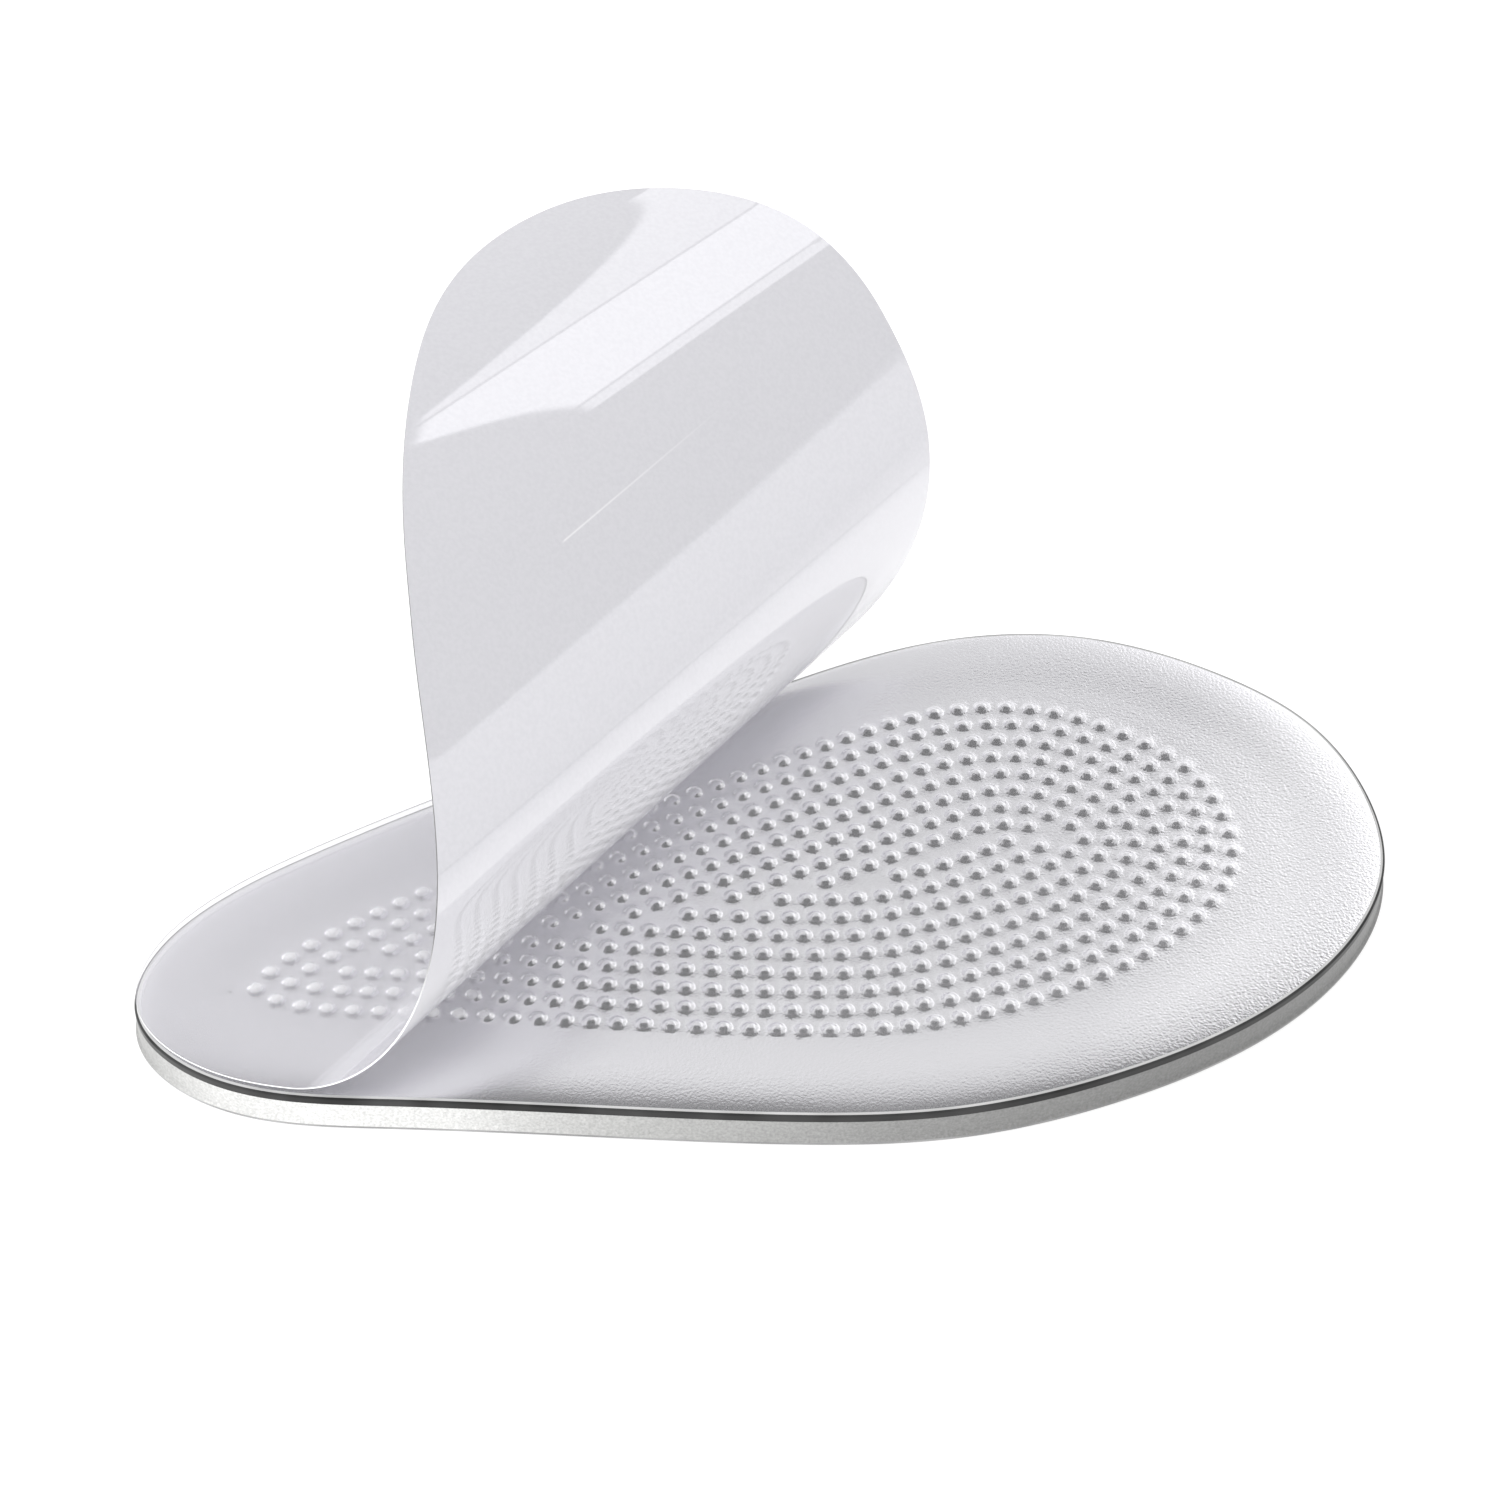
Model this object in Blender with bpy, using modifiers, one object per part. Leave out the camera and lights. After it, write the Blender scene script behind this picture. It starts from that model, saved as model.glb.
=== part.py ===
"""A metatarsal pad: a clear moulded gel pad with rings of small nubs, and its half-peeled film.

Lengths are in metres and angles in radians. The pad lies flat on the plane z = 0 with its long
axis along X, the narrow end at -X. The origin is in the middle of its underside.
"""
import math
from collections import namedtuple

import bmesh
import bpy
import numpy as np
from mathutils import Matrix

# Gel pad
PAD_LENGTH = 0.105
PAD_WIDTH = 0.055
EDGE_HEIGHT = 0.003
BASE_LIP_HEIGHT = 0.0003
BASE_LIP_REACH = 0.0002
CROWN_RISE = 0.0004
CROWN_RUN = 0.004
RIM_BAND = 0.0008
DISH_DEPTH = 0.0003
DISH_SLOPE = 0.0035
PAD_THICKNESS = EDGE_HEIGHT + CROWN_RISE

# Nubs on the floor of the dish
NUB_DIAMETER = 0.0015
NUB_HEIGHT = 0.0004
NUB_ROOT = 0.00015
NUB_GAP = 0.0007
RING_GAP = 0.0006
FIELD_MARGIN = 0.0004
FIELD_SHIFT = -0.0017
TIP_MARGIN = 0.0022

# Film on the pad's top, peeled back from its wide end
FILM_THICKNESS = 0.0003
FILM_CLEARANCE = 0.0003
FILM_EDGE_INSET = 0.0004
PEEL_SETBACK = 0.026  # from the pad's middle back to where the peel line crosses the long axis
PEEL_ANGLE = math.radians(39.7)  # of the peel line from the long axis
BEND_APEX = 0.385  # from that crossing, along the peel line, to the point where all the folds meet
FOLD_RUN = 0.0366  # width of the tight bend past the peel line
FOLD_TURN = math.radians(133.5)  # how far the film turns over in it
FOLD_EASE = 2.74  # above 1, the bend is tightest at the peel line and eases off past it
CURL_RUN = 0.020  # beyond the bend the film goes on turning, by CURL_TURN over each CURL_RUN
CURL_TURN = math.radians(34)

# Fineness of the mesh
SPAN_STEPS = 5
CROWN_STEPS = 6
SLOPE_STEPS = 4
RING_SPAN_STEPS = 24
NUB_SIDES = 6
TURN_STEP = math.radians(6)
SHARP_ANGLE = math.radians(40)
CUT_TOLERANCE = 1e-7
FACING_TOLERANCE = 1e-9
INSET_LIMIT = 0.94

# The outline between its two tips. Along is a share of the length, from the narrow tip; front and
# back are shares of the width, from the long axis to the edge on the -Y and the +Y side.
Station = namedtuple("Station", "along front back")
STATIONS = (
    Station(along=0.022, front=0.130, back=0.092),
    Station(along=0.070, front=0.210, back=0.173),
    Station(along=0.170, front=0.280, back=0.258),
    Station(along=0.310, front=0.360, back=0.340),
    Station(along=0.450, front=0.440, back=0.402),
    Station(along=0.580, front=0.489, back=0.464),
    Station(along=0.715, front=0.476, back=0.503),
    Station(along=0.835, front=0.413, back=0.456),
    Station(along=0.930, front=0.300, back=0.322),
    Station(along=0.982, front=0.170, back=0.182),
)
NARROW_TIP_SHIFT = -0.020

GEL = {"name": "clear_gel", "color": (0.80, 0.81, 0.82, 1.0), "roughness": 0.28, "alpha": 1.0}
FILM = {"name": "clear_film", "color": (0.88, 0.89, 0.91, 1.0), "roughness": 0.06, "alpha": 0.45}

# Points of a closed edge, the directions that lead straight in from them, and how far each point
# can move in before it meets the inset of another stretch of the edge.
Edge = namedtuple("Edge", "points inward reach")


def clear_scene():
    for item in list(bpy.data.objects):
        bpy.data.objects.remove(item, do_unlink=True)


def make_collection(name):
    collection = bpy.data.collections.new(name)
    bpy.context.scene.collection.children.link(collection)
    return collection


def make_material(look):
    material = bpy.data.materials.new(look["name"])
    material.use_nodes = True
    shader = material.node_tree.nodes["Principled BSDF"]
    shader.inputs["Base Color"].default_value = look["color"]
    shader.inputs["Roughness"].default_value = look["roughness"]
    shader.inputs["Metallic"].default_value = 0.0
    shader.inputs["Alpha"].default_value = look["alpha"]
    return material


def make_object(name, bm, collection, material):
    mesh = bpy.data.meshes.new(name)
    bmesh.ops.recalc_face_normals(bm, faces=bm.faces)
    bm.to_mesh(mesh)
    bm.free()
    mesh.shade_smooth()
    mesh.set_sharp_from_angle(angle=SHARP_ANGLE)
    mesh.materials.append(material)
    item = bpy.data.objects.new(name, mesh)
    collection.objects.link(item)
    return item


def outline_knots():
    """The outline's tips and stations in order: narrow tip, front side, wide tip, back side."""
    start = -PAD_LENGTH / 2
    front = [(start + s.along * PAD_LENGTH, -s.front * PAD_WIDTH) for s in STATIONS]
    back = [(start + s.along * PAD_LENGTH, s.back * PAD_WIDTH) for s in reversed(STATIONS)]
    narrow_tip = (start, NARROW_TIP_SHIFT * PAD_WIDTH)
    wide_tip = (start + PAD_LENGTH, 0.0)
    return np.array([narrow_tip, *front, wide_tip, *back])


def knot_slopes(knots, spans):
    """Slopes at the knots that keep the curvature continuous round the closed curve."""
    count = len(knots)
    system = np.zeros((count, count))
    wanted = np.zeros_like(knots)
    for i in range(count):
        after = (i + 1) % count
        system[i, i - 1] = spans[i]
        system[i, i] = 2 * (spans[i - 1] + spans[i])
        system[i, after] = spans[i - 1]
        before_rise = (knots[i] - knots[i - 1]) / spans[i - 1]
        after_rise = (knots[after] - knots[i]) / spans[i]
        wanted[i] = 3 * (spans[i] * before_rise + spans[i - 1] * after_rise)
    return np.linalg.solve(system, wanted)


def pad_edge(span_steps):
    """The pad's outline as a smooth closed curve, with a number of points on each span."""
    knots = outline_knots()
    after = np.roll(knots, -1, axis=0)
    spans = np.linalg.norm(after - knots, axis=1)
    slopes = knot_slopes(knots, spans)
    rise = spans[:, None] * slopes
    rise_after = spans[:, None] * np.roll(slopes, -1, axis=0)
    points = []
    tangents = []
    for i in range(len(knots)):
        for step in range(span_steps):
            t = step / span_steps
            points.append((2 * t**3 - 3 * t**2 + 1) * knots[i] + (t**3 - 2 * t**2 + t) * rise[i]
                          + (3 * t**2 - 2 * t**3) * after[i] + (t**3 - t**2) * rise_after[i])
            tangents.append((6 * t**2 - 6 * t) * (knots[i] - after[i])
                            + (3 * t**2 - 4 * t + 1) * rise[i] + (3 * t**2 - 2 * t) * rise_after[i])
    points = np.array(points)
    tangents = np.array(tangents)
    inward = np.column_stack([-tangents[:, 1], tangents[:, 0]])
    inward /= np.linalg.norm(inward, axis=1)[:, None]
    return Edge(points, inward, inset_reach(points, inward))


def inset_reach(points, inward):
    """Radius of the largest circle that touches the edge at each point and crosses it nowhere."""
    reach = np.zeros(len(points))
    for i, point in enumerate(points):
        chords = points - point
        ahead = chords @ inward[i]
        facing = ahead > FACING_TOLERANCE
        reach[i] = ((chords[facing] ** 2).sum(axis=1) / (2 * ahead[facing])).min()
    return reach


def inset_loop(edge, distance):
    """The edge moved in by a distance, less where its own curve leaves no room for that."""
    moved = np.minimum(distance, INSET_LIMIT * edge.reach)
    return edge.points + moved[:, None] * edge.inward


def pad_profile():
    """Inset and height of each ring of the pad's skin, from the base up and in to the dish."""
    wall = BASE_LIP_REACH
    rows = [(0.0, 0.0), (0.0, BASE_LIP_HEIGHT), (wall, BASE_LIP_HEIGHT + BASE_LIP_REACH)]
    for step in range(CROWN_STEPS + 1):
        turn = math.pi / 2 * step / CROWN_STEPS
        rows.append((wall + CROWN_RUN * (1 - math.cos(turn)), EDGE_HEIGHT + CROWN_RISE * math.sin(turn)))
    band_end = wall + CROWN_RUN + RIM_BAND
    for step in range(SLOPE_STEPS + 1):
        share = step / SLOPE_STEPS
        drop = DISH_DEPTH * share * share * (3 - 2 * share)
        rows.append((band_end + DISH_SLOPE * share, PAD_THICKNESS - drop))
    return rows


def loft(rings):
    """A closed body through rings with equal numbers of points, flat at both ends."""
    bm = bmesh.new()
    loops = [[bm.verts.new(point) for point in ring] for ring in rings]
    for lower, upper in zip(loops, loops[1:]):
        for i in range(len(lower)):
            bm.faces.new((lower[i - 1], lower[i], upper[i], upper[i - 1]))
    bm.faces.new(reversed(loops[0]))
    bm.faces.new(loops[-1])
    return bm


def nub_places():
    """Centres of the nubs: rings inside one another that follow the pad's edge, drawn in at its tips
    and shifted a little along it."""
    edge = pad_edge(RING_SPAN_STEPS)
    ring_inset = pad_profile()[-1][0] + FIELD_MARGIN + NUB_DIAMETER / 2
    nub_pitch = NUB_DIAMETER + NUB_GAP
    shortening = np.array([1 - TIP_MARGIN / (PAD_LENGTH / 2), 1.0])
    shift = np.array([FIELD_SHIFT, 0.0])
    places = []
    while (edge.reach > ring_inset).sum() > 2:
        ring = (edge.points + ring_inset * edge.inward)[edge.reach > ring_inset]
        ring = np.vstack([ring, ring[:1]])
        travel = np.append(0.0, np.cumsum(np.linalg.norm(np.diff(ring, axis=0), axis=1)))
        count = max(round(travel[-1] / nub_pitch), 1)
        for step in range(count):
            stop = travel[-1] * step / count
            place = np.array([np.interp(stop, travel, ring[:, 0]), np.interp(stop, travel, ring[:, 1])])
            if all(np.linalg.norm(place - other) > nub_pitch - NUB_GAP / 2 for other in places):
                places.append(place)
        ring_inset += NUB_DIAMETER + RING_GAP
    return [place * shortening + shift for place in places]


def make_nubs(collection, material):
    """All the nubs as low cones whose roots reach into the floor of the dish."""
    bm = bmesh.new()
    depth = NUB_HEIGHT + NUB_ROOT
    floor = PAD_THICKNESS - DISH_DEPTH
    base_radius = NUB_DIAMETER / 2 * depth / NUB_HEIGHT
    for x, y in nub_places():
        middle = Matrix.Translation((x, y, floor - NUB_ROOT + depth / 2))
        bmesh.ops.create_cone(bm, cap_ends=True, segments=NUB_SIDES, radius1=base_radius, radius2=0.0,
                              depth=depth, matrix=middle)
    nubs = make_object("nub_cones", bm, collection, material)
    nubs.hide_render = True
    nubs.display_type = "WIRE"
    return nubs


def make_gel_pad(collection, cutters, material):
    edge = pad_edge(SPAN_STEPS)
    rings = []
    for inset, height in pad_profile():
        rings.append([(x, y, height) for x, y in inset_loop(edge, inset)])
    pad = make_object("gel_pad", loft(rings), collection, material)
    join = pad.modifiers.new("nubs", "BOOLEAN")
    join.operation = "UNION"
    join.solver = "EXACT"
    join.object = make_nubs(cutters, material)
    return pad


def travel_at(turn):
    """How far past the peel line the film has turned by an angle."""
    if turn < FOLD_TURN:
        return FOLD_RUN * (1 - (1 - turn / FOLD_TURN) ** (1 / FOLD_EASE))
    return FOLD_RUN + (turn - FOLD_TURN) * CURL_RUN / CURL_TURN


def bend_line(angle):
    """Direction from the bend apex of the line that lies at an angle from the peel line."""
    heading = PEEL_ANGLE + math.pi + angle
    return np.array([math.cos(heading), math.sin(heading), 0.0])


def make_film(collection, material):
    """The flat sheet of the pad's outline, folded a little at each of a fan of straight lines."""
    peel_line = -bend_line(0.0)
    apex = np.array([-PEEL_SETBACK, 0.0, 0.0]) + BEND_APEX * peel_line
    bm = bmesh.new()
    sheet = inset_loop(pad_edge(SPAN_STEPS), FILM_EDGE_INSET)
    bm.faces.new([bm.verts.new((x, y, 0.0)) for x, y in sheet])

    rays = [np.array(v.co) - apex for v in bm.verts]
    across = bend_line(math.pi / 2)
    widest = max(math.atan2(ray @ across, -(ray @ peel_line)) for ray in rays)
    folds = [Matrix.Identity(3)]
    angles = []
    angle = travel_at(TURN_STEP / 2) / BEND_APEX
    while angle < widest:
        line = bend_line(angle)
        bmesh.ops.bisect_plane(bm, geom=bm.verts[:] + bm.edges[:] + bm.faces[:], dist=CUT_TOLERANCE,
                               plane_co=apex, plane_no=bend_line(angle + math.pi / 2))
        folds.append(folds[-1] @ Matrix.Rotation(TURN_STEP, 3, line))
        angles.append(angle)
        angle = travel_at(TURN_STEP * (len(angles) + 0.5)) / BEND_APEX

    for vert in bm.verts:
        ray = np.array(vert.co) - apex
        position = math.atan2(ray @ across, -(ray @ peel_line))
        passed = sum(position > fold_angle for fold_angle in angles)
        vert.co = apex + np.array(folds[passed]) @ ray
    film = make_object("peel_film", bm, collection, material)
    film.location.z = PAD_THICKNESS + FILM_CLEARANCE
    skin = film.modifiers.new("thickness", "SOLIDIFY")
    skin.thickness = FILM_THICKNESS
    skin.offset = 1.0
    return film


def main():
    clear_scene()
    parts = make_collection("metatarsal_pad")
    cutters = make_collection("cutters")
    pad = make_gel_pad(parts, cutters, make_material(GEL))
    film = make_film(parts, make_material(FILM))
    root = bpy.data.objects.new("metatarsal_pad_origin", None)
    parts.objects.link(root)
    for part in (pad, film):
        part.parent = root


main()
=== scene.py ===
"""The looks of the metatarsal pad: a clear gel pad with nubs, and its cover film peeled half back."""
import math

import bmesh
import bpy
import numpy as np
from mathutils import Matrix, Vector
from mathutils.geometry import delaunay_2d_cdt


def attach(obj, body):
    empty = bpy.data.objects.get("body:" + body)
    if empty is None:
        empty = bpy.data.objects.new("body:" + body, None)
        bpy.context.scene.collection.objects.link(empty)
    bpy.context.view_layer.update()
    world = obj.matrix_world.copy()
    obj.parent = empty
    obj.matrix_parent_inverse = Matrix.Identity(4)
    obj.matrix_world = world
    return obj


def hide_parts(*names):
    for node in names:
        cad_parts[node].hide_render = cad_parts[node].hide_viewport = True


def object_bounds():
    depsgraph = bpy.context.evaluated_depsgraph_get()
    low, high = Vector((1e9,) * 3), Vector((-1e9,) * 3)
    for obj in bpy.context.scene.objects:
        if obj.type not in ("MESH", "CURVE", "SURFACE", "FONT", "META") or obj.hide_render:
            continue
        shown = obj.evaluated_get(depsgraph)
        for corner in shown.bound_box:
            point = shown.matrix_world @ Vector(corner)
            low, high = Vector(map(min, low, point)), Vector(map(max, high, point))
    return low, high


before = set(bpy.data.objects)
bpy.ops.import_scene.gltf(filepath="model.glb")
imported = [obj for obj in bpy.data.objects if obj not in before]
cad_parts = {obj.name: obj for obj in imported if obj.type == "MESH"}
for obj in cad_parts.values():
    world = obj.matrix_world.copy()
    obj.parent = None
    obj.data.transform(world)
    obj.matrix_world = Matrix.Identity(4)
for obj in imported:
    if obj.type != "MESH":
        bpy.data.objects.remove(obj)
cad_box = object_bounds()

# Sizes of the pad in metres: the solid's, but with a narrower rim and a longer and gentler slope
EDGE_HEIGHT = 0.003
BASE_LIP_HEIGHT = 0.0003
BASE_LIP_REACH = 0.0002
CROWN_RISE = 0.0004
CROWN_RUN = 0.0035
PAD_THICKNESS = EDGE_HEIGHT + CROWN_RISE
RIM_BAND = 0.0001
DISH_DEPTH = 0.0003
DISH_SLOPE = 0.0046
NUB_HEIGHT = 0.0004
INSET_LIMIT = 0.94

# How far the dressed dish's floor lies above the solid's, and the size of the nubs on it
FLOOR_RAISED = 0.00018
DRESSED_NUB_DIAMETER = 0.00156
DRESSED_NUB_HEIGHT = 0.00028
NUB_FLATNESS = 3
NUB_FOOT = 1.5

# The skins of the pad's side: heights where the base lip and the wall end, and insets where the
# dark shoulder and the pale line above it end. The shoulder's dark and the base lip's grey are painted
# shade, the line's pale a painted highlight.
LIP_TOP = 0.0004
WALL_TOP = 0.0027
SHOULDER_INSET = 0.00046
LINE_INSET = 0.00062

# The film, as the solid has it, and how thin the sheet looks inside that solid
FILM_THICKNESS = 0.0003
FILM_SHEET = 0.00012
FILM_CLEARANCE = 0.0003
FILM_LYING_TOP = PAD_THICKNESS + FILM_CLEARANCE + FILM_THICKNESS
FILM_EDGE_INSET = 0.0004
PEEL_SETBACK = 0.026
PEEL_ANGLE = math.radians(39.7)
BEND_APEX = 0.385
FOLD_RUN = 0.0366
FOLD_TURN = math.radians(133.5)
FOLD_EASE = 2.74
CURL_RUN = 0.020
CURL_TURN = math.radians(34)

# Grain of the surfaces: noise cells to the metre, and the depth of their relief
GRAIN_SCALE = 4200.0
GRAIN_DEPTH = 0.00005
WALL_GRAIN_SCALE = 4500.0
WALL_GRAIN_STRENGTH = 0.5
FILM_GRAIN_SCALE = 2600.0
SHEEN_SCALE = 70.0
MOTTLE_SCALE = 180.0

# Noise values that are spread out over a whole range of tones: a wide choice and a narrow one
WIDE_NOISE = (0.3, 0.7)
NARROW_NOISE = (0.35, 0.65)

# The gel's top: its colours (its own, a painted light one, and a painted highlight for the nubs' tips
# where the film lies over them), its roughness from place to place, and how metallic it is, on its
# own and on those tips
GEL_COLOR = (0.80, 0.795, 0.825)
GEL_PAINTED_LIGHT_COLOR = (0.95, 0.945, 0.975)
TIP_PAINTED_HIGHLIGHT_COLOR = (1.0, 1.0, 1.0)
GEL_ROUGHNESS = (0.21, 0.26)
GEL_METALLIC = (0.84, 0.10)
TIP_LOW = 0.00002
TIP_HIGH = 0.0003
RIM_STEP = 0.00003

# Where the gel's top changes: two places in metres along one direction, and the amounts at them. The
# wide end's change runs along X, leaning over by its slant. The changes at the wide end and the front
# are painted light, the covered one bounds the nubs' painted tip highlight, and the last two set the
# grain's strength.
WIDE_END_SLANT = -0.6
WIDE_END_PAINTED_LIGHT = (0.033, 0.046, 0.0, 1.0)
FRONT_PAINTED_LIGHT = (-0.012, -0.022, 0.0, 0.5)
COVERED_FADE = (-0.024, -0.029, 0.0, 0.75)
MIDDLE_GRAIN_FADE = (-0.030, -0.018, 0.05, 0.35)
WIDE_GRAIN_FADE = (0.012, 0.036, 0.0, 0.65)

# The side wall: its roughness, how its grain shades it, and its tones at places along the pad's
# length, in metres from its middle, set after the light in the photo. The tones are painted light and
# shade: a painted highlight near the narrow end, darker towards the wide one.
WALL_SPAN = 0.053
WALL_ROUGHNESS = 0.42
WALL_SHADE = (0.70, 1.05)
WALL_WARMTH = 0.985
WALL_PAINTED_LIGHT_TONES = (
    (-0.0525, 0.27), (-0.047, 0.60), (-0.040, 0.77), (-0.030, 0.72), (-0.022, 0.53), (-0.015, 0.44),
    (0.004, 0.28), (0.028, 0.22), (0.05, 0.22),
)

# The narrow skins of the pad's side, all painted light and shade: dark tone, pale tone, roughness and gloss
# Painted shade: a dark line along the shoulder of the rim.
SHOULDER_PAINTED_SHADE_SKIN = (0.02, 0.05, 0.30, 0.15)
# Painted shade: a grey contact shadow line along the base.
LIP_PAINTED_SHADE_SKIN = (0.24, 0.36, 0.40, 0.5)
# Painted highlight: a pale line along the rim above the shoulder.
LINE_PAINTED_HIGHLIGHT_SKIN = (0.36, 0.48, 0.25, 0.4)

# The film's looks: its speckled grey, its painted tones where it bends, on either side (painted light
# on the inner side, painted shade on the upper one), and its edge, with a painted highlight and painted
# shade
FILM_DARK = (0.665, 0.66, 0.695)
FILM_PALE = (0.695, 0.69, 0.725)
FILM_BENT_PAINTED_LIGHT = (0.95, 0.945, 0.975)
FILM_BENT_UPPER_PAINTED_SHADE = (0.46, 0.455, 0.48)
FILM_ROUGHNESS = 0.02
FILM_METALLIC = (0.35, 0.24)
# Painted highlight on the edge near the gel, and painted shade where the film stands up.
EDGE_PAINTED_HIGHLIGHT = (0.95, 0.95, 0.96)
EDGE_PAINTED_SHADE = (0.12, 0.12, 0.12)
EDGE_ROUGHNESS = 0.3
EDGE_FADE = (0.008, 0.016, 0.0, 1.0)

# How the film changes as it rises off the gel: heights above its lying part where its painted bend
# tone begins and is full, heights above the floor where that ends, and its opacity. The bend tone is
# painted light on the inner side and painted shade on the upper side.
BEND_PAINT_RISE = (0.001, 0.004)
BEND_PAINT_END_FADE = (0.011, 0.019, 1.0, 0.0)
CONTACT_RISE = 0.00005
CONTACT_OPACITY = (0.22, 0.45)
LIFT_RISE = 0.006
LIFT_OPACITY = 0.48

# The faint crease in the raised part of the film, drawn as a painted highlight line: its ends, the way
# its sheet faces, its half width, its strength, how soon it begins, and how far below its far end the
# film stays free of it
CREASE_START = Vector((-0.0128, 0.0167, 0.0298))
CREASE_END = Vector((0.0045, 0.0322, 0.0294))
CREASE_FACING = Vector((0.495, -0.535, 0.685))
CREASE_HALF_WIDTH = 0.00012
CREASE_STRENGTH = 0.8
CREASE_TIP = 0.0003
CREASE_BELOW = (0.004, 0.003)
CREASE_HIGHLIGHT_COLOR = (0.95, 0.95, 0.96)

# Fineness of the dressed meshes
EDGE_STEPS = 5
WALL_STEPS = 10
CROWN_STEPS = 20
CROWN_EASE = 1.5
SLOPE_STEPS = 10
NUB_SEGMENTS = 16
NUB_SHARES = (0.20, 0.36, 0.50, 0.63, 0.76, 0.88, 1.0, 1.1)
FLOOR_PITCH = 0.0008
NUB_MARGIN = 0.3 * FLOOR_PITCH
BORDER_MARGIN = 0.5 * FLOOR_PITCH
FILM_TURN_STEP = math.radians(1.0)
FILM_CROSS_STEP = 0.003
PAD_SHARP_ANGLE = math.radians(50)
FILM_SHARP_ANGLE = math.radians(40)

# How close two places or heights are that count as one, and how far in a point lies that counts as
# ahead of the edge, in metres
SAME_PLACE = 1e-7
SAME_BASE = 1e-6
SAME_TIP = 1e-5
AHEAD = 1e-8

# The studio's light: radiance near the horizon, in the ring above it and overhead, and the heights
# (sines of elevation) where they meet
HORIZON_LIGHT = 1.04
RING_LIGHT = 0.67
SKY_LIGHT = 0.03
HORIZON_TOP = 0.358
RING_TOP = 0.825
RING_FADE = 0.03
HORIZON_FADE = 0.005

# The studio's window: its corners (azimuth and elevation in degrees), the two bars across it, the
# light it adds beside the bars and between them, and how dark the bars are
WINDOW_CORNERS = ((69.0, 30.75), (38.5, 46.8), (31.0, 46.8), (13.0, 38.8), (60.0, 13.9))
WINDOW_BARS = (((50.0, 35.5), (37.0, 46.6)), ((31.5, 35.0), (15.5, 40.2)))
WINDOW_LIGHT = 0.62
PANE_LIGHT = 0.22
BAR_WIDTH = 0.005
BAR_SHADE = 0.3
WINDOW_FADE = (-0.002, 0.002, 0.0, 1.0)

# The soft lights: name, azimuth and elevation in degrees, distance, width and height in metres,
# radiance, and whether gloss shows them
SOFTBOXES = (
    ("back_softbox", 103, 38, 0.8, 0.50, 0.44, 0.18, True),
    ("left_strip", 134, 14, 0.8, 0.55, 0.30, 1.3, True),
    ("left_light", 186, 13, 0.8, 0.25, 0.25, 20.0, False),
    ("overhead_fill", -90, 84, 1.2, 1.6, 1.6, 1.6, False),
)

# The studio floor: its size in metres, its grey, its roughness and its glow
STUDIO_FLOOR_SIZE = 3.0
STUDIO_FLOOR_COLOR = (0.55, 0.55, 0.55)
STUDIO_FLOOR_ROUGHNESS = 0.9
STUDIO_FLOOR_GLOW = 0.5

# The camera
VIEW_AZIMUTH = math.radians(-13.67)
VIEW_ELEVATION = math.radians(42.4)
VIEW_DISTANCE = 0.2922
VIEW_ASIDE = -0.00154
VIEW_RAISED = 0.01187
LENS = 85.0
SENSOR_WIDTH = 36.0
CLIP_START = 0.01
CLIP_END = 20.0


def edge_from_frame():
    """The pad's outline, read from the solid's underside, in order round the pad."""
    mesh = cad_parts["gel_pad"].data
    low = cad_box[0][2] + SAME_BASE
    points = sorted({(round(v.co.x, 7), round(v.co.y, 7)) for v in mesh.vertices if v.co.z < low})
    centre = np.mean(points, axis=0)
    ordered = sorted(points, key=lambda p: math.atan2(p[1] - centre[1], p[0] - centre[0]))
    return np.array(ordered)


def finer_edge(knots, steps):
    """A smooth closed curve through the outline's points, with its inward directions."""
    count = len(knots)
    after = np.roll(knots, -1, axis=0)
    spans = np.linalg.norm(after - knots, axis=1)
    before = np.roll(spans, 1)
    system = np.diag(2 * (before + spans))
    for i in range(count):
        system[i, i - 1] += spans[i]
        system[i, (i + 1) % count] += before[i]
    rise = (after - knots) / spans[:, None]
    wanted = 3 * (spans[:, None] * np.roll(rise, 1, axis=0) + before[:, None] * rise)
    slopes = np.linalg.solve(system, wanted)
    start = spans[:, None] * slopes
    end = spans[:, None] * np.roll(slopes, -1, axis=0)
    points = []
    tangents = []
    for step in range(steps):
        t = step / steps
        points.append((2 * t**3 - 3 * t**2 + 1) * knots + (t**3 - 2 * t**2 + t) * start
                      + (3 * t**2 - 2 * t**3) * after + (t**3 - t**2) * end)
        tangents.append((6 * t**2 - 6 * t) * (knots - after) + (3 * t**2 - 4 * t + 1) * start
                        + (3 * t**2 - 2 * t) * end)
    points = np.stack(points, axis=1).reshape(-1, 2)
    tangents = np.stack(tangents, axis=1).reshape(-1, 2)
    inward = np.column_stack([-tangents[:, 1], tangents[:, 0]])
    inward /= np.linalg.norm(inward, axis=1)[:, None]
    return points, inward


def inset_reach(points, inward):
    """Radius of the largest circle that touches the edge at each point and crosses it nowhere."""
    reach = np.zeros(len(points))
    for i, point in enumerate(points):
        chords = points - point
        ahead = chords @ inward[i]
        facing = ahead > AHEAD
        reach[i] = ((chords[facing] ** 2).sum(axis=1) / (2 * ahead[facing])).min()
    return reach


EDGE, INWARD = finer_edge(edge_from_frame(), EDGE_STEPS)
REACH = inset_reach(EDGE, INWARD)

# Material slots: the pad's, then those that the film has beside its first
TOP_SLOT = 0
WALL_SLOT = 1
SHOULDER_SLOT = 2
LIP_SLOT = 3
LINE_SLOT = 4
EDGE_SLOT = 1
UPPER_SLOT = 2


def inset_loop(distance):
    moved = np.minimum(distance, INSET_LIMIT * REACH)
    return EDGE + moved[:, None] * INWARD


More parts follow.
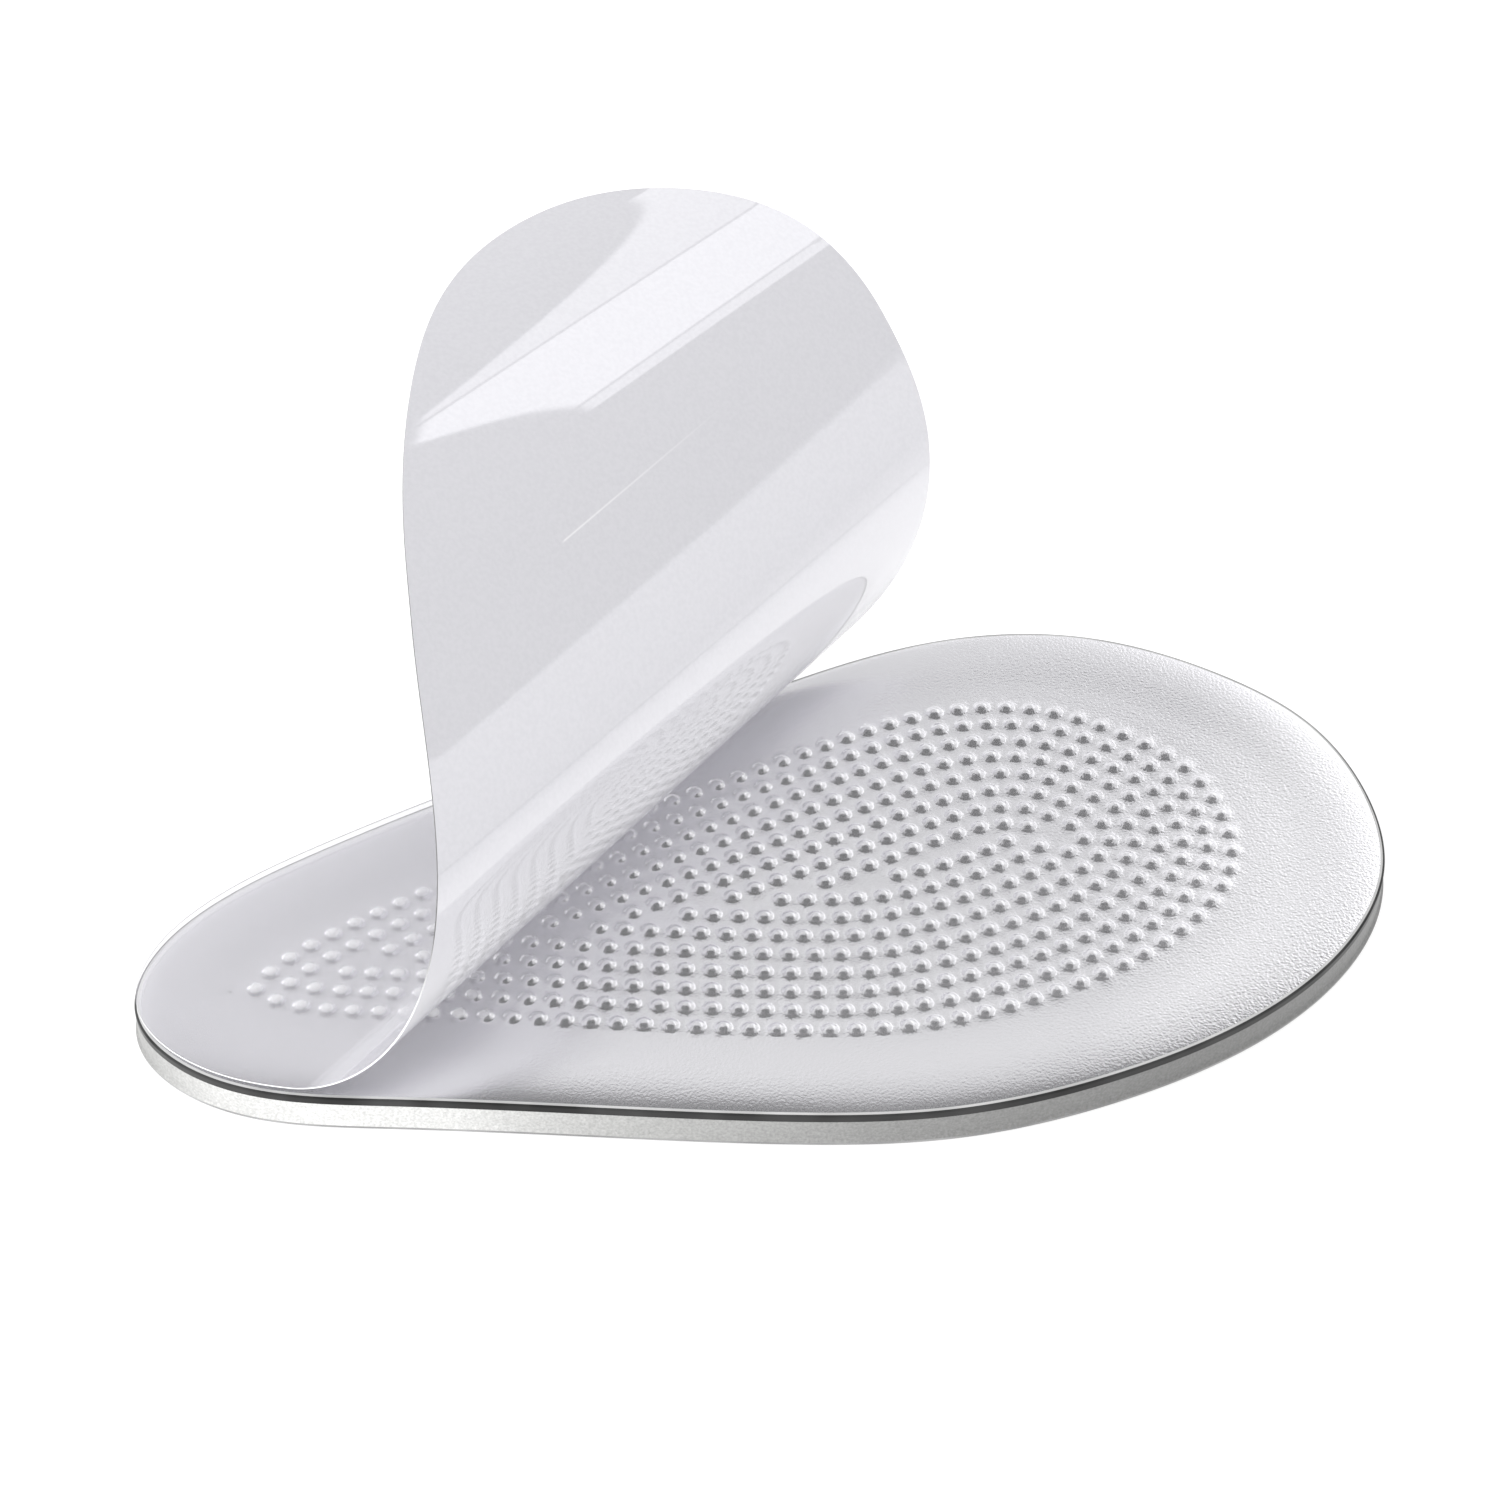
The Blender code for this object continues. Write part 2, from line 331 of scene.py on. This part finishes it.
def nub_centres():
    """The places of the nubs' tips, from the solid."""
    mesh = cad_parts["gel_pad"].data
    tip_height = PAD_THICKNESS - DISH_DEPTH + NUB_HEIGHT
    tips = [v.co for v in mesh.vertices if abs(v.co.z - tip_height) < SAME_TIP]
    return sorted({(round(tip.x, 6), round(tip.y, 6)) for tip in tips})


def link(name, bm, smooth_angle=None):
    mesh = bpy.data.meshes.new(name)
    bm.to_mesh(mesh)
    bm.free()
    mesh.shade_smooth()
    if smooth_angle is not None:
        mesh.set_sharp_from_angle(angle=smooth_angle)
    item = bpy.data.objects.new(name, mesh)
    bpy.context.scene.collection.objects.link(item)
    return item


def slope_drop(share):
    return (DISH_DEPTH - FLOOR_RAISED) * share * share * (3 - 2 * share)


def nub_rise(share):
    """Height of a nub at a share of its radius: a dome with a flat top and a soft foot."""
    return DRESSED_NUB_HEIGHT * (1 - min(share, 1.0) ** NUB_FLATNESS) ** NUB_FOOT


def skin_profile():
    """Inset and height of each ring of the pad's skin, from the base up and in to the dish."""
    wall = BASE_LIP_REACH
    foot = BASE_LIP_HEIGHT + BASE_LIP_REACH
    rows = [(BASE_LIP_REACH / 2, 0.0), (0.0, BASE_LIP_HEIGHT / 3), (0.0, BASE_LIP_HEIGHT), (wall, foot)]
    for step in range(1, WALL_STEPS):
        rows.append((wall, foot + (EDGE_HEIGHT - foot) * step / WALL_STEPS))
    for step in range(CROWN_STEPS + 1):
        turn = math.pi / 2 * (step / CROWN_STEPS) ** CROWN_EASE
        rows.append((wall + CROWN_RUN * (1 - math.cos(turn)), EDGE_HEIGHT + CROWN_RISE * math.sin(turn)))
    band_end = wall + CROWN_RUN + RIM_BAND
    for step in range(SLOPE_STEPS + 1):
        share = step / SLOPE_STEPS
        rows.append((band_end + DISH_SLOPE * share, PAD_THICKNESS - slope_drop(share)))
    return rows


def skin_slot(inset, height):
    """Which skin covers the ring of faces below a row of the profile."""
    if height < LIP_TOP:
        return LIP_SLOT
    if height < WALL_TOP:
        return WALL_SLOT
    if inset < SHOULDER_INSET:
        return SHOULDER_SLOT
    return LINE_SLOT if inset < LINE_INSET else TOP_SLOT


def floor_points(border):
    """The dish's floor as flat points and their heights above it: nub by nub, then what lies between."""
    points = []
    heights = []
    centres = np.array(nub_centres())
    for centre in centres:
        points.append(centre)
        heights.append(nub_rise(0.0))
        for ring, share in enumerate(NUB_SHARES):
            for segment in range(NUB_SEGMENTS):
                angle = 2 * math.pi * (segment + 0.5 * (ring % 2)) / NUB_SEGMENTS
                reach = DRESSED_NUB_DIAMETER / 2 * share
                points.append(centre + reach * np.array([math.cos(angle), math.sin(angle)]))
                heights.append(nub_rise(share))
    low = border.min(axis=0)
    high = border.max(axis=0)
    clear_of_nub = DRESSED_NUB_DIAMETER / 2 * NUB_SHARES[-1] + NUB_MARGIN
    for x in np.arange(low[0], high[0], FLOOR_PITCH):
        for y in np.arange(low[1], high[1], FLOOR_PITCH):
            place = np.array([x, y])
            if np.linalg.norm(centres - place, axis=1).min() < clear_of_nub:
                continue
            gaps = border - place
            nearest = np.argmin((gaps ** 2).sum(axis=1))
            if gaps[nearest] @ -INWARD[nearest] > BORDER_MARGIN:
                points.append(place)
                heights.append(0.0)
    return points, heights


def build_pad():
    """The gel pad as one closed skin: the lofted side, rim and slope, the nubbed floor, and a flat
    underside with a sharp border."""
    bm = bmesh.new()
    rows = skin_profile()
    loops = []
    for inset, height in rows:
        loops.append([bm.verts.new((x, y, height)) for x, y in inset_loop(inset)])
    for row, (lower, upper) in enumerate(zip(loops, loops[1:])):
        for i in range(len(lower)):
            face = bm.faces.new((lower[i - 1], lower[i], upper[i], upper[i - 1]))
            face.material_index = skin_slot(*rows[row + 1])
    underside = bm.faces.new(reversed(loops[0]))
    underside.material_index = WALL_SLOT

    border = inset_loop(rows[-1][0])
    inner, heights = floor_points(border)
    flat = [Vector(p) for p in border] + [Vector(p) for p in inner]
    ring = [list(range(len(border)))]
    out_points, _, faces, origins, _, _ = delaunay_2d_cdt(flat, [], ring, 1, SAME_PLACE)
    floor = rows[-1][1]
    verts = []
    for place, origin in zip(out_points, origins):
        source = origin[0] if origin else -1
        if 0 <= source < len(border):
            verts.append(loops[-1][source])
        else:
            rise = heights[source - len(border)] if source >= 0 else 0.0
            verts.append(bm.verts.new((place.x, place.y, floor + rise)))
    for face in faces:
        bm.faces.new([verts[i] for i in face])
    bmesh.ops.recalc_face_normals(bm, faces=bm.faces)
    bm.faces.index_update()
    base = underside.index
    pad = link("gel_pad_dressed", bm, PAD_SHARP_ANGLE)
    around_base = set(pad.data.polygons[base].edge_keys)
    for edge in pad.data.edges:
        if edge.key in around_base:
            edge.use_edge_sharp = True
    return pad


def travel_at(turn):
    """How far past the peel line the film has turned by an angle."""
    if turn < FOLD_TURN:
        return FOLD_RUN * (1 - (1 - turn / FOLD_TURN) ** (1 / FOLD_EASE))
    return FOLD_RUN + (turn - FOLD_TURN) * CURL_RUN / CURL_TURN


def bend_line(angle):
    """Direction from the bend apex of the line that lies at an angle from the peel line."""
    heading = PEEL_ANGLE + math.pi + angle
    return np.array([math.cos(heading), math.sin(heading), 0.0])


def cut_flat(bm, point, normal):
    everything = bm.verts[:] + bm.edges[:] + bm.faces[:]
    bmesh.ops.bisect_plane(bm, geom=everything, dist=SAME_PLACE, plane_co=point, plane_no=normal)


def build_film():
    """The cover film: the pad's outline as a flat sheet, bent along a fan of straight lines."""
    peel_line = -bend_line(0.0)
    across = bend_line(math.pi / 2)
    apex = np.array([-PEEL_SETBACK, 0.0, 0.0]) + BEND_APEX * peel_line
    bm = bmesh.new()
    outline = inset_loop(FILM_EDGE_INSET)
    bm.faces.new([bm.verts.new((x, y, 0.0)) for x, y in outline])
    rays = [np.array(v.co) - apex for v in bm.verts]
    far = max(ray @ -peel_line for ray in rays)
    near = min(ray @ -peel_line for ray in rays)
    for distance in np.arange(near, far, FILM_CROSS_STEP)[1:]:
        cut_flat(bm, apex - distance * peel_line, peel_line)
    lying = max(-(ray @ across) for ray in rays)
    for offset in np.arange(0.0, lying, FILM_CROSS_STEP):
        cut_flat(bm, np.array([-PEEL_SETBACK, 0.0, 0.0]) - offset * across, across)
    widest = max(math.atan2(ray @ across, -(ray @ peel_line)) for ray in rays)
    folds = [Matrix.Identity(3)]
    angles = []
    angle = travel_at(FILM_TURN_STEP / 2) / BEND_APEX
    while angle < widest:
        cut_flat(bm, apex, bend_line(angle + math.pi / 2))
        folds.append(folds[-1] @ Matrix.Rotation(FILM_TURN_STEP, 3, bend_line(angle)))
        angles.append(angle)
        angle = travel_at(FILM_TURN_STEP * (len(angles) + 0.5)) / BEND_APEX
    flat_area = sum(face.calc_area() for face in bm.faces)
    height = PAD_THICKNESS + FILM_CLEARANCE
    for vert in bm.verts:
        ray = np.array(vert.co) - apex
        position = math.atan2(ray @ across, -(ray @ peel_line))
        passed = sum(position > fold_angle for fold_angle in angles)
        vert.co = apex + np.array(folds[passed]) @ ray + np.array([0.0, 0.0, height])
    thicken(bm, (FILM_THICKNESS - FILM_SHEET) / 2, FILM_SHEET)
    film = link("peel_film_dressed", bm, FILM_SHARP_ANGLE)
    return film, flat_area, outline


def thicken(bm, start, thickness):
    """Move an open sheet out along its normals, and give it an upper side and a rim, each of its own
    material."""
    bm.normal_update()
    for vert in bm.verts:
        vert.co += start * vert.normal
    lower = list(bm.faces)
    border = [edge for edge in bm.edges if edge.is_boundary]
    raised = {vert: bm.verts.new(vert.co + thickness * vert.normal) for vert in list(bm.verts)}
    for face in lower:
        upper = bm.faces.new([raised[vert] for vert in face.verts])
        upper.material_index = UPPER_SLOT
    for edge in border:
        start, end = edge.verts
        rim = bm.faces.new((start, end, raised[end], raised[start]))
        rim.material_index = EDGE_SLOT
    bmesh.ops.reverse_faces(bm, faces=lower)
    bmesh.ops.recalc_face_normals(bm, faces=bm.faces)


def feed(links, target, value):
    """Set a node's input to a plain number or colour, or link another node's output to it."""
    if isinstance(value, bpy.types.NodeSocket):
        links.new(value, target)
    elif isinstance(value, tuple):
        target.default_value = (*value, 1.0)
    else:
        target.default_value = value


def new_material(name, color, roughness):
    material = bpy.data.materials.new(name)
    material.use_nodes = True
    nodes = material.node_tree.nodes
    links = material.node_tree.links
    shader = nodes["Principled BSDF"]
    feed(links, shader.inputs["Base Color"], color)
    feed(links, shader.inputs["Roughness"], roughness)
    return material, nodes, links, shader


def object_place(nodes, links):
    """The place on the object that is shaded, whole and split into its X, Y and Z."""
    coords = nodes.new("ShaderNodeTexCoord").outputs["Object"]
    split = nodes.new("ShaderNodeSeparateXYZ")
    links.new(coords, split.inputs["Vector"])
    return coords, split.outputs


def noise(nodes, links, coords, scale, detail=2.0, roughness=0.5):
    node = nodes.new("ShaderNodeTexNoise")
    for name, value in (("Scale", scale), ("Detail", detail), ("Roughness", roughness), ("Vector", coords)):
        feed(links, node.inputs[name], value)
    return node.outputs["Fac"]


def mapped(nodes, links, value, from_low, from_high, to_low, to_high):
    """A value brought from one range to another, and held within it."""
    node = nodes.new("ShaderNodeMapRange")
    links.new(value, node.inputs["Value"])
    limits = {"From Min": from_low, "From Max": from_high, "To Min": to_low, "To Max": to_high}
    for name, number in limits.items():
        feed(links, node.inputs[name], number)
    return node.outputs["Result"]


def maths(nodes, links, operation, first, second):
    """A number made of two others, each of them a socket or a plain number."""
    node = nodes.new("ShaderNodeMath")
    node.operation = operation
    feed(links, node.inputs[0], first)
    feed(links, node.inputs[1], second)
    return node.outputs["Value"]


def along(nodes, links, vector, direction):
    """How far a vector reaches along a fixed direction."""
    node = nodes.new("ShaderNodeVectorMath")
    node.operation = "DOT_PRODUCT"
    links.new(vector, node.inputs[0])
    node.inputs[1].default_value = direction
    return node.outputs["Value"]


def blended(nodes, links, factor, first, second, how="MIX"):
    """A colour made of two others, each of them a socket or a plain colour."""
    node = nodes.new("ShaderNodeMix")
    node.data_type = "RGBA"
    node.blend_type = how
    feed(links, node.inputs["Factor"], factor)
    feed(links, node.inputs[6], first)
    feed(links, node.inputs[7], second)
    return node.outputs[2]


def add_relief(nodes, links, shader, height, strength):
    bump = nodes.new("ShaderNodeBump")
    feed(links, bump.inputs["Strength"], strength)
    feed(links, bump.inputs["Distance"], GRAIN_DEPTH)
    feed(links, bump.inputs["Height"], height)
    feed(links, shader.inputs["Normal"], bump.outputs["Normal"])


def gel_material():
    """The gel's top: pale gloss over a fine grain that is strongest at the wide end, with painted light
    that lightens it at that end and along the front. Where the film still lies on it, the nubs' tips
    get a painted highlight."""
    material, nodes, links, shader = new_material("clear_gel", GEL_COLOR, GEL_ROUGHNESS[0])
    coords, place = object_place(nodes, links)
    sheen = noise(nodes, links, coords, SHEEN_SCALE)
    feed(links, shader.inputs["Roughness"], mapped(nodes, links, sheen, *WIDE_NOISE, *GEL_ROUGHNESS))

    # Painted light: the top is painted pale towards the wide end and along the front.
    slant = maths(nodes, links, "MULTIPLY", place["Y"], WIDE_END_SLANT)
    ahead = maths(nodes, links, "ADD", place["X"], slant)
    wide_end = mapped(nodes, links, ahead, *WIDE_END_PAINTED_LIGHT)
    front = mapped(nodes, links, place["Y"], *FRONT_PAINTED_LIGHT)
    painted_paleness = maths(nodes, links, "ADD", wide_end, front)
    tint = blended(nodes, links, painted_paleness, GEL_COLOR, GEL_PAINTED_LIGHT_COLOR)

    # Painted highlight: the nubs' tips are painted pale where the film still lies over them.
    floor = PAD_THICKNESS - DISH_DEPTH + FLOOR_RAISED
    tips = mapped(nodes, links, place["Z"], floor + TIP_LOW, floor + TIP_HIGH, 0.0, 1.0)
    above_rim = mapped(nodes, links, place["Z"], PAD_THICKNESS, PAD_THICKNESS + RIM_STEP, 0.0, 1.0)
    covered = mapped(nodes, links, place["X"], *COVERED_FADE)
    tip_highlight_mask = maths(nodes, links, "MULTIPLY", maths(nodes, links, "MULTIPLY", tips, covered), above_rim)
    feed(links, shader.inputs["Base Color"], blended(nodes, links, tip_highlight_mask, tint, TIP_PAINTED_HIGHLIGHT_COLOR))
    feed(links, shader.inputs["Metallic"], mapped(nodes, links, tip_highlight_mask, 0.0, 1.0, *GEL_METALLIC))

    middle = mapped(nodes, links, place["X"], *MIDDLE_GRAIN_FADE)
    wide = mapped(nodes, links, place["X"], *WIDE_GRAIN_FADE)
    grain = noise(nodes, links, coords, GRAIN_SCALE)
    add_relief(nodes, links, shader, grain, maths(nodes, links, "ADD", middle, wide))
    return material


def wall_painted_light_ramp(nodes, links, length):
    """The wall's painted light and shade along the pad's length."""
    ramp = nodes.new("ShaderNodeValToRGB")
    feed(links, ramp.inputs["Fac"], mapped(nodes, links, length, -WALL_SPAN, WALL_SPAN, 0.0, 1.0))
    stops = ramp.color_ramp.elements
    stops.remove(stops[1])
    for index, (place, tone) in enumerate(WALL_PAINTED_LIGHT_TONES):
        share = (place + WALL_SPAN) / (2 * WALL_SPAN)
        stop = stops[0] if index == 0 else stops.new(share)
        stop.position = share
        stop.color = (tone, tone, tone * WALL_WARMTH, 1.0)
    return ramp.outputs["Color"]


def wall_material():
    """The pad's side wall: matt grained gel, with painted light and shade: a painted highlight near the
    narrow end, and darker towards the wide one.
    """
    material, nodes, links, shader = new_material("gel_wall_painted_light", GEL_COLOR, WALL_ROUGHNESS)
    coords, place = object_place(nodes, links)
    grain = noise(nodes, links, coords, WALL_GRAIN_SCALE, 4.0, 0.6)
    # Painted light and shade: the wall's tones along its length copy how the light falls on it.
    ramp = wall_painted_light_ramp(nodes, links, place["X"])
    shade = nodes.new("ShaderNodeCombineColor")
    for name in ("Red", "Green", "Blue"):
        feed(links, shade.inputs[name], mapped(nodes, links, grain, *WIDE_NOISE, *WALL_SHADE))
    tint = blended(nodes, links, 1.0, ramp, shade.outputs["Color"], "MULTIPLY")
    feed(links, shader.inputs["Base Color"], tint)
    add_relief(nodes, links, shader, grain, WALL_GRAIN_STRENGTH)
    return material


def mottled_material(name, dark, pale, roughness, gloss):
    """A gel skin of one tone that wanders a little from place to place."""
    material, nodes, links, shader = new_material(name, (pale, pale, pale), roughness)
    feed(links, shader.inputs["Specular IOR Level"], gloss)
    coords, _ = object_place(nodes, links)
    mottle = mapped(nodes, links, noise(nodes, links, coords, MOTTLE_SCALE), *NARROW_NOISE, 0.0, 1.0)
    tint = blended(nodes, links, mottle, (dark, dark, dark), (pale, pale, pale))
    feed(links, shader.inputs["Base Color"], tint)
    return material


def crease_highlight(nodes, links, coords, place):
    """How strong the crease's painted highlight is at a place: a thin line on the film's raised part that
    fades to one end.
    """
    across = (CREASE_END - CREASE_START).cross(CREASE_FACING).normalized()
    gap = maths(nodes, links, "SUBTRACT", along(nodes, links, coords, across), across.dot(CREASE_START))
    near = mapped(nodes, links, maths(nodes, links, "ABSOLUTE", gap, 0.0), 0.0, CREASE_HALF_WIDTH, 1.0, 0.0)
    begun = mapped(nodes, links, place["X"], CREASE_START.x - CREASE_TIP, CREASE_START.x, 0.0, 1.0)
    fading = mapped(nodes, links, place["X"], CREASE_START.x, CREASE_END.x, CREASE_STRENGTH, 0.0)
    free, crease_highlighted = (CREASE_END.z - below for below in CREASE_BELOW)
    raised = mapped(nodes, links, place["Z"], free, crease_highlighted, 0.0, 1.0)
    ends = maths(nodes, links, "MULTIPLY", begun, fading)
    return maths(nodes, links, "MULTIPLY", maths(nodes, links, "MULTIPLY", near, ends), raised)


def film_material(name, bent_painted_tone):
    """One side of the cover film: clear where it lies on the gel, and a glossy pale grey where it
    stands up, with a painted tone where it bends: painted light on the inner side, painted shade on
    the upper side."""
    material, nodes, links, shader = new_material(name, FILM_DARK, FILM_ROUGHNESS)
    coords, place = object_place(nodes, links)
    speckle = mapped(nodes, links, noise(nodes, links, coords, FILM_GRAIN_SCALE), *NARROW_NOISE, 0.0, 1.0)
    tint = blended(nodes, links, speckle, FILM_DARK, FILM_PALE)
    # Painted tone where the film bends: painted light on the inner side, painted shade on the upper side.
    bend_paint_low, bend_paint_high = (FILM_LYING_TOP + rise for rise in BEND_PAINT_RISE)
    leaving = mapped(nodes, links, place["Z"], bend_paint_low, bend_paint_high, 0.0, 1.0)
    arriving = mapped(nodes, links, place["Z"], *BEND_PAINT_END_FADE)
    bend_paint_mask = maths(nodes, links, "MULTIPLY", leaving, arriving)
    bent = blended(nodes, links, bend_paint_mask, tint, bent_painted_tone)
    # Painted highlight: a thin pale line along the crease.
    crease_highlighted = blended(nodes, links, crease_highlight(nodes, links, coords, place), bent, CREASE_HIGHLIGHT_COLOR)
    feed(links, shader.inputs["Base Color"], crease_highlighted)
    feed(links, shader.inputs["Metallic"], mapped(nodes, links, bend_paint_mask, 0.0, 1.0, *FILM_METALLIC))
    off_gel = FILM_LYING_TOP + CONTACT_RISE
    contact = mapped(nodes, links, place["Z"], FILM_LYING_TOP, off_gel, *CONTACT_OPACITY)
    lifted = FILM_LYING_TOP + LIFT_RISE
    lift = mapped(nodes, links, place["Z"], FILM_LYING_TOP, lifted, 0.0, LIFT_OPACITY)
    feed(links, shader.inputs["Alpha"], maths(nodes, links, "ADD", contact, lift))
    return material


def film_edge_material():
    """The film's cut edge: a painted highlight near the gel, and a painted shade line where the film stands
    up.
    """
    material, nodes, links, shader = new_material("film_edge", EDGE_PAINTED_HIGHLIGHT, EDGE_ROUGHNESS)
    _, place = object_place(nodes, links)
    # Painted highlight low on the edge, painted shade higher up.
    height = mapped(nodes, links, place["Z"], *EDGE_FADE)
    feed(links, shader.inputs["Base Color"], blended(nodes, links, height, EDGE_PAINTED_HIGHLIGHT, EDGE_PAINTED_SHADE))
    return material


def floor_material():
    """A pale floor that glows a little, so that no shadow greys it."""
    material, _, links, shader = new_material("pale_floor", STUDIO_FLOOR_COLOR, STUDIO_FLOOR_ROUGHNESS)
    feed(links, shader.inputs["Specular IOR Level"], 0.0)
    feed(links, shader.inputs["Emission Color"], (1.0, 1.0, 1.0))
    feed(links, shader.inputs["Emission Strength"], STUDIO_FLOOR_GLOW)
    return material


def towards(azimuth, elevation):
    """The direction at an angle round from +X and an angle above the floor, both in degrees."""
    around = math.radians(azimuth)
    above = math.radians(elevation)
    return Vector((math.cos(around) * math.cos(above), math.sin(around) * math.cos(above), math.sin(above)))


def add_softbox(name, azimuth, elevation, distance, width, height, radiance, in_gloss):
    """A rectangular light that faces the pad."""
    data = bpy.data.lights.new(name, "AREA")
    data.shape = "RECTANGLE"
    data.size = width
    data.size_y = height
    data.energy = 4 * radiance * width * height
    light = bpy.data.objects.new(name, data)
    away = towards(azimuth, elevation)
    light.location = away * distance
    light.rotation_euler = away.to_track_quat("Z", "Y").to_euler()
    light.visible_camera = False
    light.visible_glossy = in_gloss
    bpy.context.scene.collection.objects.link(light)


def make_stage():
    bm = bmesh.new()
    bmesh.ops.create_grid(bm, x_segments=1, y_segments=1, size=STUDIO_FLOOR_SIZE)
    floor = link("studio_floor", bm)
    floor.location.z = cad_box[0][2]
    floor.data.materials.append(floor_material())
    make_world()
    for softbox in SOFTBOXES:
        add_softbox(*softbox)


def beside_line(nodes, links, direction, start, end, centre):
    """How far a direction is from the line through two others, above nought on the centre's side."""
    normal = towards(*start).cross(towards(*end)).normalized()
    if normal.dot(centre) < 0:
        normal = -normal
    return along(nodes, links, direction, normal)


def window_light(nodes, links, direction):
    """The light of the window in the sky: a pane between two thin bars, and dimmer glass beside them."""
    centre = sum((towards(*corner) for corner in WINDOW_CORNERS), Vector()).normalized()
    inside = 1.0
    for start, end in zip(WINDOW_CORNERS, WINDOW_CORNERS[1:] + WINDOW_CORNERS[:1]):
        gap = beside_line(nodes, links, direction, start, end, centre)
        inside = maths(nodes, links, "MULTIPLY", inside, mapped(nodes, links, gap, *WINDOW_FADE))
    between = 1.0
    clear = 1.0
    for start, end in WINDOW_BARS:
        gap = beside_line(nodes, links, direction, start, end, centre)
        between = maths(nodes, links, "MULTIPLY", between, mapped(nodes, links, gap, *WINDOW_FADE))
        near = maths(nodes, links, "ABSOLUTE", gap, 0.0)
        bar = mapped(nodes, links, near, BAR_WIDTH / 2, BAR_WIDTH, BAR_SHADE, 1.0)
        clear = maths(nodes, links, "MULTIPLY", clear, bar)
    pane = maths(nodes, links, "MULTIPLY", between, PANE_LIGHT)
    glass = maths(nodes, links, "ADD", WINDOW_LIGHT, pane)
    return maths(nodes, links, "MULTIPLY", maths(nodes, links, "MULTIPLY", inside, glass), clear)


def make_world():
    """Light round the horizon, a ring a little dimmer above it, a dark sky overhead, and a window."""
    world = bpy.data.worlds.new("studio")
    world.use_nodes = True
    nodes = world.node_tree.nodes
    links = world.node_tree.links
    direction = nodes.new("ShaderNodeTexCoord").outputs["Generated"]
    split = nodes.new("ShaderNodeSeparateXYZ")
    links.new(direction, split.inputs["Vector"])
    height = split.outputs["Z"]
    horizon = (HORIZON_TOP - HORIZON_FADE, HORIZON_TOP + HORIZON_FADE)
    low = mapped(nodes, links, height, *horizon, HORIZON_LIGHT, RING_LIGHT)
    ring = mapped(nodes, links, height, RING_TOP - RING_FADE, RING_TOP + RING_FADE, 1.0, 0.0)
    sky = maths(nodes, links, "ADD", maths(nodes, links, "MULTIPLY", ring, low), SKY_LIGHT)
    lit = maths(nodes, links, "ADD", sky, window_light(nodes, links, direction))
    feed(links, nodes["Background"].inputs["Color"], (1.0, 1.0, 1.0))
    feed(links, nodes["Background"].inputs["Strength"], lit)
    bpy.context.scene.world = world


def make_camera():
    data = bpy.data.cameras.new("view")
    data.lens = LENS
    data.sensor_width = SENSOR_WIDTH
    data.clip_start = CLIP_START
    data.clip_end = CLIP_END
    camera = bpy.data.objects.new("view", data)
    right = Vector((math.cos(VIEW_AZIMUTH), math.sin(VIEW_AZIMUTH), 0.0))
    level = math.cos(VIEW_ELEVATION)
    away = Vector((math.sin(VIEW_AZIMUTH), -math.cos(VIEW_AZIMUTH), 0.0))
    back = Vector((away.x * level, away.y * level, math.sin(VIEW_ELEVATION)))
    up = back.cross(right)
    turn = Matrix((right, up, back)).transposed()
    camera.rotation_mode = "QUATERNION"
    camera.rotation_quaternion = turn.to_quaternion()
    rim = Vector((0.0, 0.0, EDGE_HEIGHT))
    camera.location = rim + back * VIEW_DISTANCE + right * VIEW_ASIDE + up * VIEW_RAISED
    bpy.context.scene.collection.objects.link(camera)
    bpy.context.scene.camera = camera


def dress_pad():
    pad = build_pad()
    pad.data.materials.append(gel_material())
    pad.data.materials.append(wall_material())
    # The shoulder's and the base lip's dark are painted shade, the rim line's pale a painted highlight.
    pad.data.materials.append(mottled_material("gel_shoulder_painted_shade", *SHOULDER_PAINTED_SHADE_SKIN))
    pad.data.materials.append(mottled_material("gel_lip_painted_shade", *LIP_PAINTED_SHADE_SKIN))
    pad.data.materials.append(mottled_material("gel_rim_painted_highlight", *LINE_PAINTED_HIGHLIGHT_SKIN))
    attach(pad, "root")
    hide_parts("gel_pad")
    return pad


def dress_film(pad):
    film, flat_area, outline = build_film()
    # The inner side's bend tone is painted light, the upper side's painted shade.
    film.data.materials.append(film_material("clear_film", FILM_BENT_PAINTED_LIGHT))
    film.data.materials.append(film_edge_material())
    film.data.materials.append(film_material("clear_film_upper", FILM_BENT_UPPER_PAINTED_SHADE))
    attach(film, "root")
    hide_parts("peel_film")


def main():
    bpy.context.scene.view_settings.view_transform = "Standard"
    make_camera()
    make_stage()
    dress_film(dress_pad())


main()
